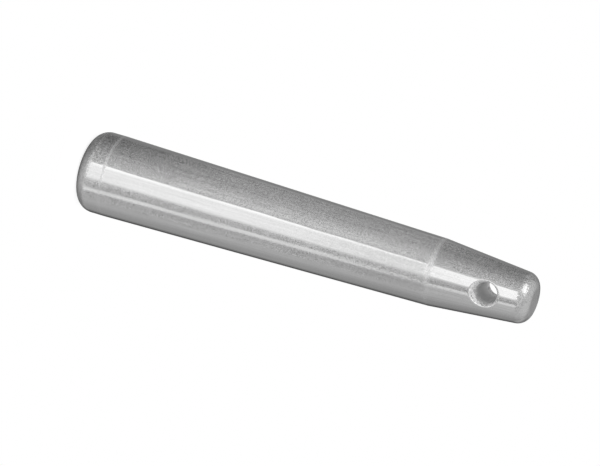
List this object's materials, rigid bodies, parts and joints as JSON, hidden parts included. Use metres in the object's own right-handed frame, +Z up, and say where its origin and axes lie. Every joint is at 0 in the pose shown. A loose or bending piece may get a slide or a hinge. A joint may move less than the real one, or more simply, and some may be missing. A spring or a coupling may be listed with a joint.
{
  "type": "taper pin",
  "caption": "Conical steel coupler pin with a short parallel land, a long slow taper, a steeper nose with a countersunk cross hole for a spring clip, and rounded ends.",
  "frame": {"origin": "centre of the flat face at the large end, on which the pin stands", "axes": "+Z up the pin's axis from the large end to the small end, +Y along the cross hole, +X across the pin"},
  "size_m": [0.013, 0.013, 0.075],
  "materials": {
    "zinc_plated_steel": "turned steel with a bright zinc plating, finely grained, with a soft sheen along the pin"
  },
  "bodies": {
    "root": {"taper_pin": "zinc_plated_steel"}
  },
  "joints": []
}
